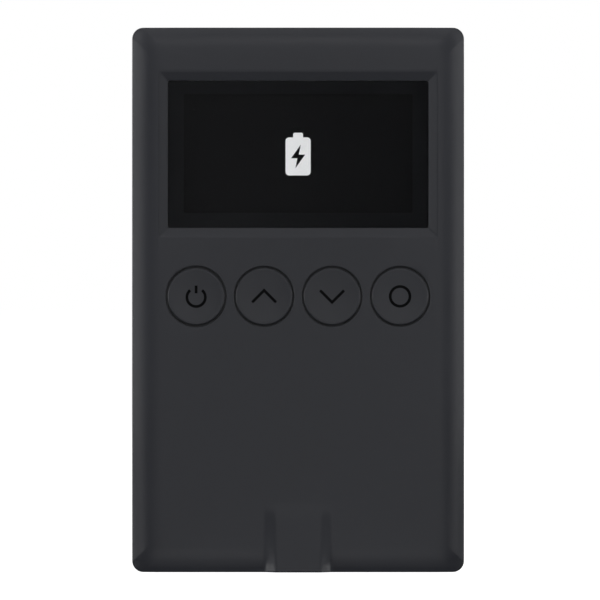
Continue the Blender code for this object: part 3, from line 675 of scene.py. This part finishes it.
def corner_dip(x, z, inset):
    """How much deeper a ring lies near the corners, where the crowns of two sides add up."""
    return crown(HALF_WIDTH - abs(x)) + crown(MID_Z - abs(z - MID_Z)) - crown(inset)


def front_ring(beside, on):
    """One ring of the display side. Each pair is an inset and a depth: beside the hump, and on it."""
    ring = []
    for x, z in outline(beside[0]):
        share = hump_share(x, z)
        shift = share * (on[0] - beside[0])
        depth = beside[1] + corner_dip(x, z, beside[0])
        ring.append((x, depth + share * (on[1] - depth), z + shift))
    return ring


def front_rings():
    """The display side from the middle of its flat, over its crown and the hump, to the parting line."""
    rings = []
    for inset in spaced(FLAT_REACH, CROWN_START + CROWN_REACH, FLAT_STEPS):
        rings.append(front_ring((inset, 0.0), (inset, -HUMP_RISE)))
    squeeze = (CROWN_REACH + CROWN_START - HUMP_FILLET) / CROWN_REACH
    for k in range(CROWN_STEPS + 1):
        inset = CROWN_START + CROWN_REACH * (1 - k / CROWN_STEPS)
        hump_inset = HUMP_FILLET + (inset - CROWN_START) * squeeze
        rings.append(front_ring((inset, crown(inset)), (hump_inset, -HUMP_RISE)))
    # The rim curves from the crown's slope into the side wall. Its knee is where the two would meet.
    knee = CROWN_DROP * (1 + CROWN_POWER * CROWN_START / CROWN_REACH)
    for k in range(1, RIM_STEPS + 1):
        t = k / RIM_STEPS
        depth = CROWN_DROP * (1 - t) ** 2 + 2 * knee * t * (1 - t) + SIDE_START * t * t
        beside = (CROWN_START * (1 - t) ** 2, depth)
        angle = math.pi / 2 * min(1.0, k / (RIM_STEPS - 1))
        on = (HUMP_FILLET * (1 - math.sin(angle)), HUMP_FILLET * (1 - math.cos(angle)) - HUMP_RISE)
        if k == RIM_STEPS:
            on = (0.0, HUMP_WALL)
        rings.append(front_ring(beside, on))
    rings.append(at_depth(outline(0.0), SPLIT_DEPTH - SPLIT_BEVEL))
    rings.append(at_depth(outline(SPLIT_BEVEL), SPLIT_DEPTH))
    return rings


def window_cutter():
    """The window's stepped opening: softened chamfer, glass pocket and view opening."""
    half_x, half_z = POCKET_HALF
    pairs = [(WINDOW_MOUTH[0][0], OUTSIDE), *WINDOW_MOUTH, (0.0, POCKET_DEPTH)]
    rings = []
    for out, depth in pairs:
        section = rounded(half_x + out, half_z + out, WINDOW_CORNER, (0.0, WINDOW_Z))
        rings.append(at_depth(section, depth))
    view = rounded(*VIEW_HALF, WINDOW_CORNER, (0.0, VIEW_Z))
    rings += [at_depth(view, POCKET_DEPTH), at_depth(view, FRAME_BACK + OVERLAP)]
    return solid("cut_window", [rings])


def slot_cutter():
    """The socket's opening, with a rounded mouth in the bottom wall."""
    rings = []
    for out, height in [*round_mouth(SLOT_MOUTH), (0.0, SLOT_TOP)]:
        half_x, half_depth = (side + out for side in SLOT_HALF)
        section = rounded(half_x, half_depth, SLOT_CORNER + out, (0.0, SOCKET_DEPTH), steps=10)
        rings.append([(x, depth, height) for x, depth in section])
    return solid("cut_socket_slot", [rings])


def key_centres():
    """Each key's name with its (x, z) axis."""
    centres = {}
    for name in KEY_NAMES:
        low, high = node_box(f"{name}_key")
        centres[name] = ((low.x + high.x) / 2, (low.z + high.z) / 2)
    return centres


def make_case(surfaces):
    """The two shells of the case."""
    inner = [at_depth(outline(inset), depth) for inset, depth in ((WALL, SPLIT_DEPTH), *INNER_RINGS)]
    front = solid("case_front", [front_rings() + inner], surfaces["case"])
    frame_outline = rounded(*FRAME_HALF, WINDOW_CORNER, (0.0, WINDOW_Z))
    frame_rings = [at_depth(frame_outline, depth) for depth in (PLATE - OVERLAP, FRAME_BACK)]
    reshape(front, solid("add_frame", [frame_rings]), "UNION")
    reshape(front, window_cutter())
    reshape(front, slot_cutter())
    for name, centre in key_centres().items():
        hole = POWER_HOLE if name == "power" else KEY_HOLE
        mouth = [*round_mouth(KEY_MOUTH), (0.0, PLATE + OVERLAP)]
        profile = [(hole + out, depth) for out, depth in mouth]
        reshape(front, solid("cut_key_hole", [turned(profile, centre)]))
    settle(front)
    piece(front, replaces=["front_shell"])

    start = SPLIT_DEPTH + SPLIT_GAP
    lip_out, lip_in, lip_start = LIP
    edge = []
    for k in range(BACK_STEPS + 1):
        angle = math.pi / 2 * k / BACK_STEPS
        edge.append((BACK_EDGE * (1 - math.cos(angle)), BACK_DEPTH - BACK_EDGE * (1 - math.sin(angle))))
    floor = BACK_DEPTH - BACK_PLATE
    inside = [(lip_in + INSIDE_CHAMFER, floor), (lip_in, floor - INSIDE_CHAMFER), (lip_in, lip_start)]
    rim = [(lip_out, lip_start), (lip_out, start), (SPLIT_BEVEL, start), (0.0, start + SPLIT_BEVEL)]
    rings = [at_depth(outline(inset), depth) for inset, depth in [*inside, *rim, *edge]]
    back = solid("case_back", [rings], surfaces["case"])
    reshape(back, slot_cutter())
    settle(back)
    piece(back, replaces=["rear_cover"])


# ------------------------------------------------------------------ keys
def stroke(points):
    """A flat outline of even width along a line of (x, z) points, with mitred bends and square ends."""
    half = ICON_STROKE / 2
    sides = ([], [])
    for k, point in enumerate(points):
        before, after = points[max(k - 1, 0)], points[min(k + 1, len(points) - 1)]
        turns = []
        for start, end in ((before, point), (point, after)):
            length = math.hypot(end[0] - start[0], end[1] - start[1])
            if length > 0:
                turns.append(((start[1] - end[1]) / length, (end[0] - start[0]) / length))
        normal = [sum(turn[axis] for turn in turns) / len(turns) for axis in (0, 1)]
        size = half / (normal[0] ** 2 + normal[1] ** 2)
        for side, points_out in zip((1, -1), sides):
            points_out.append((point[0] + side * normal[0] * size, point[1] + side * normal[1] * size))
    return [*sides[0], *reversed(sides[1])]


def engraving(outlines, centre):
    """The cutters of a symbol made of those flat outlines, about a key's axis."""
    bodies = []
    for flat in outlines:
        moved = [(centre[0] + x, centre[1] + z) for x, z in flat]
        bodies.append([at_depth(moved, OUTSIDE), at_depth(moved, ICON_FLOOR)])
    return bodies


def symbol_cutter(name, centre, ink):
    """The cutter of a key's symbol: a power sign, an arrowhead or a ring. Its cut faces take the given
    near-black groove colour.
    """
    if name == "confirm":
        inner, outer = CONFIRM_RADIUS - ICON_STROKE / 2, CONFIRM_RADIUS + ICON_STROKE / 2
        profile = [(outer, OUTSIDE), (outer, ICON_FLOOR), (inner, ICON_FLOOR), (inner, OUTSIDE)]
        return solid("cut_symbol", [turned(profile, centre, CONFIRM_STEPS)], ink, looped=True)
    if name == "power":
        start, end = (math.radians(angle) for angle in POWER_ARC)
        turns = [*spaced(start, end, POWER_STEPS), end]
        arc = [(POWER_RADIUS * math.cos(a), POWER_RADIUS * math.sin(a) - POWER_DROP) for a in turns]
        low, high = POWER_BAR
        sign = [stroke(arc), stroke([(0.0, low), (0.0, high)])]
        return solid("cut_symbol", engraving(sign, centre), ink)
    tip = CHEVRON_ARM / 2 if name == "up" else -CHEVRON_ARM / 2
    arrow = stroke([(-CHEVRON_ARM, -tip), (0.0, tip), (CHEVRON_ARM, -tip)])
    return solid("cut_symbol", engraving([arrow], centre), ink)


def key_profile():
    """(radius, depth) pairs of a cap: dished top, rounded edge, flange and nub."""
    dish = [KEY_CREST * k / DISH_STEPS for k in range(1, DISH_STEPS + 1)]
    top = [(r, KEY_DISH * (1 - (r / KEY_CREST) ** 2)) for r in dish]
    edge = KEY_RADIUS - KEY_CREST
    turns = [math.pi / 2 * k / KEY_EDGE_STEPS for k in range(1, KEY_EDGE_STEPS + 1)]
    side = [(KEY_CREST + edge * math.sin(a), edge * (1 - math.cos(a))) for a in turns]
    front, back = KEY_FLANGE_DEPTH
    flange = [(KEY_RADIUS, front), (KEY_FLANGE, front), (KEY_FLANGE, back)]
    return [*top, *side, *flange, (NUB_RADIUS, back), (NUB_RADIUS, NUB_TIP)]


def make_keys(surfaces):
    """The four caps, each on its own body."""
    for name, centre in key_centres().items():
        cap = solid(f"{name}_cap", [turned(key_profile(), centre)], surfaces["keys"])
        reshape(cap, symbol_cutter(name, centre, surfaces["groove"]), transfer=True)
        settle(cap)
        piece(cap, body=f"{name}_key", replaces=[f"{name}_key"])


# ------------------------------------------------------------------ display
def make_glass(surfaces):
    """The cover glass, and the border printed behind it."""
    half_x, half_z = (side - GLASS_GAP for side in POCKET_HALF)
    centre = (0.0, WINDOW_Z)
    front, back = GLASS_LOW.y - FLAT_Y, GLASS_HIGH.y - FLAT_Y
    edge = [(GLASS_BEVEL, front), (0.0, front + GLASS_BEVEL)]
    edge += [(0.0, back - GLASS_BEVEL), (GLASS_BEVEL, back)]
    rings = []
    for inset, depth in edge:
        rings.append(at_depth(rounded(half_x - inset, half_z - inset, WINDOW_CORNER, centre), depth))
    glass = solid("cover_glass", [rings], surfaces["window_glass"])
    piece(glass, replaces=["display_window"])

    outer = rounded(half_x - GLASS_BEVEL, half_z - GLASS_BEVEL, WINDOW_CORNER, centre)
    inner = rounded(*INK_HALF, WINDOW_CORNER, (0.0, VIEW_Z))
    near = back + INK_GAP
    far = near + INK_THICKNESS
    rings = [at_depth(outer, near), at_depth(outer, far), at_depth(inner, far), at_depth(inner, near)]
    piece(solid("window_border", [rings], surfaces["ink"], looped=True))


def make_symbol(surfaces):
    """The lit symbol on the panel."""
    near, far = SYMBOL_DEPTH
    body = rounded(*SYMBOL_HALF, SYMBOL_CORNER, (0.0, SYMBOL_Z))
    terminal = rounded(*TERMINAL_HALF, TERMINAL_CORNER, (0.0, SYMBOL_Z + SYMBOL_HALF[1]))
    bolt = [(x, SYMBOL_Z + z) for x, z in BOLT]
    symbol = solid("battery_symbol", [[at_depth(body, near), at_depth(body, far)]], surfaces["symbol"])
    reshape(symbol, solid("add_terminal", [[at_depth(terminal, near), at_depth(terminal, far)]]), "UNION")
    through = [at_depth(bolt, near - OVERLAP), at_depth(bolt, far + OVERLAP)]
    reshape(symbol, solid("cut_bolt", [through]))
    settle(symbol)
    piece(symbol)


# ------------------------------------------------------------------ socket
def make_contacts(surfaces):
    """The gold strips on both faces of the socket's tongue."""
    bodies = []
    middle = (TONGUE_LOW.y + TONGUE_HIGH.y) / 2 - FLAT_Y
    for face in (middle - TONGUE_HALF, middle + TONGUE_HALF):
        for k in range(CONTACT_COUNT):
            x = CONTACT_PITCH * (k - (CONTACT_COUNT - 1) / 2)
            middle_z = TONGUE_LOW.z + CONTACT_RISE
            strip = rounded(*CONTACT_HALF, CONTACT_CORNER, (x, middle_z), steps=3)
            bodies.append([at_depth(strip, face - CONTACT_PROUD), at_depth(strip, face + CONTACT_PROUD)])
    piece(solid("socket_contacts", bodies, surfaces["gold"]))


# ------------------------------------------------------------------ finishes of the carried-over nodes
def dress_nodes(surfaces):
    """Gives each CAD node that stays the finish of its slot in the record."""
    for part in frame["record"]["subparts"]:
        node = frame["nodes"][part["node"]]
        for holder in node.material_slots:
            holder.material = surfaces[part["material_slot"]]


# ------------------------------------------------------------------ studio
def make_floor():
    """A plain white floor, lit from within so that it stays white."""
    mesh = bpy.data.meshes.new("floor")
    corners = [(x * FLOOR_REACH, y * FLOOR_REACH, 0.0) for x, y in ((-1, -1), (1, -1), (1, 1), (-1, 1))]
    mesh.from_pydata(corners, [], [(0, 1, 2, 3)])
    floor = bpy.data.objects.new("floor", mesh)
    bpy.context.scene.collection.objects.link(floor)
    paper = Surface("floor_paper", {"Emission Strength": 1.0, "Emission Color": (1.0, 1.0, 1.0, 1.0)})
    paper.colour(paper.mix(paper.noise(400.0), (0.55, 0.55, 0.55, 1.0), (0.58, 0.58, 0.58, 1.0)))
    paper.roughness(paper.noise_ramp(paper.noise(60.0), 0.85, 0.95))
    mesh.materials.append(paper.material)
    floor.visible_shadow = False
    floor.visible_diffuse = False
    floor.visible_glossy = False
    floor.visible_transmission = False


def make_world():
    """White where the camera looks past the object, and a dim grey room for everything else.

    Straight in front of the display hangs a grey card, darker to the right, that its glass mirrors.
    """
    world = bpy.data.worlds.new("studio")
    world.use_nodes = True
    world.node_tree.nodes.clear()
    made = Nodes(world.node_tree)
    direction = made.node("ShaderNodeTexCoord").outputs["Generated"]
    axes = made.node("ShaderNodeSeparateXYZ", {"Vector": direction})
    card = made.ramp(axes.outputs["X"], *CARD_FADE, *CARD_GREY)
    beside = made.ramp(axes.outputs["Y"], *CARD_EDGE)
    blend = made.node("ShaderNodeMix", {0: beside, 2: card, 3: ROOM_GREY}, data_type="FLOAT")
    inputs = {"Color": (1.0, 1.0, 1.03, 1.0), "Strength": blend.outputs[0]}
    room = made.node("ShaderNodeBackground", inputs)
    white = made.node("ShaderNodeBackground", {"Color": (1.0, 1.0, 1.0, 1.0)})
    seen = made.node("ShaderNodeLightPath").outputs["Is Camera Ray"]
    choose = made.node("ShaderNodeMixShader", {0: seen, 1: room.outputs[0], 2: white.outputs[0]})
    made.node("ShaderNodeOutputWorld", {"Surface": choose.outputs[0]})
    bpy.context.scene.world = world


def softbox(name, azimuth, elevation, size, power):
    """A lamp aimed at the object: azimuth 0 is on the camera's side, 90 to its right. Size in metres."""
    turn, rise = math.radians(azimuth), math.radians(elevation)
    away = Vector((math.sin(turn) * math.cos(rise), -math.cos(turn) * math.cos(rise), math.sin(rise)))
    add_lamp(name, CENTRE + away * LAMP_DISTANCE, CENTRE, size, power)


def add_lamp(name, place, target, size, power, spread=180.0):
    """A rectangular lamp at a place, facing a target, that the camera doesn't see. Spread in degrees."""
    lamp = bpy.data.lights.new(name, "AREA")
    lamp.shape = "RECTANGLE"
    lamp.size, lamp.size_y = size
    lamp.energy = power
    lamp.spread = math.radians(spread)
    made = bpy.data.objects.new(name, lamp)
    bpy.context.scene.collection.objects.link(made)
    made.location = place
    made.rotation_euler = (place - target).to_track_quat("Z", "Y").to_euler()
    made.visible_camera = False


def make_lights():
    """Boxes round the camera for the flat side and at the sides for the edges, and three behind.

    Small strips close to the edges, whose light fades within the object's own length, and the two narrow
    spots at the hump's foot are placed in millimetres.
    """
    tall, wide, square, large = (0.3, 0.6), (0.6, 0.25), (0.3, 0.3), (0.7, 0.7)
    softbox("left_near_box", -6, 0, (0.1, 0.6), 0.256)
    softbox("right_near_box", 10.5, 0, (0.17, 0.6), 0.45)
    softbox("high_near_box", 0, 10, (0.6, 0.2), 0.33)
    softbox("high_box", 0, 33, wide, 1.07)
    softbox("low_box", 0, -22, wide, 0.50)
    softbox("left_front_box", -45, 0, tall, 1.1)
    softbox("right_front_box", 45, 0, tall, 1.0)
    softbox("left_edge_box", -75, 0, tall, 2.6)
    softbox("right_edge_box", 75, 0, tall, 1.6)
    softbox("high_left_box", -55, 35, square, 0.54)
    softbox("high_right_box", 55, 35, square, 0.32)
    softbox("back_left_box", -140, 20, large, 2.4)
    softbox("back_right_box", 140, 20, large, 2.0)
    softbox("back_high_box", 180, 50, large, 1.6)
    for name, place, target, size, *light in (
        ("left_strip", (-52.5, -15, 81), (-26.5, 0, 81), (20, 120), 0.0050),
        ("right_strip", (52.5, -15, 81), (26.5, 0, 81), (20, 120), 0.0056),
        ("top_strip", (0, -30, 160), (0, 0, 88.6), (120, 60), 0.0191),
        ("foot_strip", (0, -80, -50), (0, 0, 0), (120, 60), 0.0080),
        ("foot_left_spot", (-30, -8, -12), (-4.5, 0, 1.5), (10, 18), 0.0001, 30),
        ("foot_right_spot", (30, -8, -12), (4.5, 0, 1.5), (10, 18), 0.00008, 30),
    ):
        add_lamp(name, Vector(place) * MM, Vector(target) * MM, [side * MM for side in size], *light)


def make_camera():
    """A long lens straight at the display side, as a product picture is taken."""
    camera = bpy.data.cameras.new("camera")
    camera.sensor_width = CAMERA_SENSOR
    camera.lens = CAMERA_SENSOR * CAMERA_DISTANCE / WIDTH_SEEN
    camera.clip_start, camera.clip_end = 0.01, 100.0
    made = bpy.data.objects.new("camera", camera)
    bpy.context.scene.collection.objects.link(made)
    across, up = CAMERA_SHIFT
    made.location = (across, FLAT_Y * MM - CAMERA_DISTANCE, MID_Z * MM + up)
    made.rotation_euler = (math.pi / 2, 0.0, 0.0)
    bpy.context.scene.camera = made


surfaces = make_surfaces()
dress_nodes(surfaces)
make_case(surfaces)
make_keys(surfaces)
make_glass(surfaces)
make_symbol(surfaces)
make_contacts(surfaces)
make_floor()
make_world()
make_lights()
make_camera()
bpy.context.scene.view_settings.view_transform = "Standard"
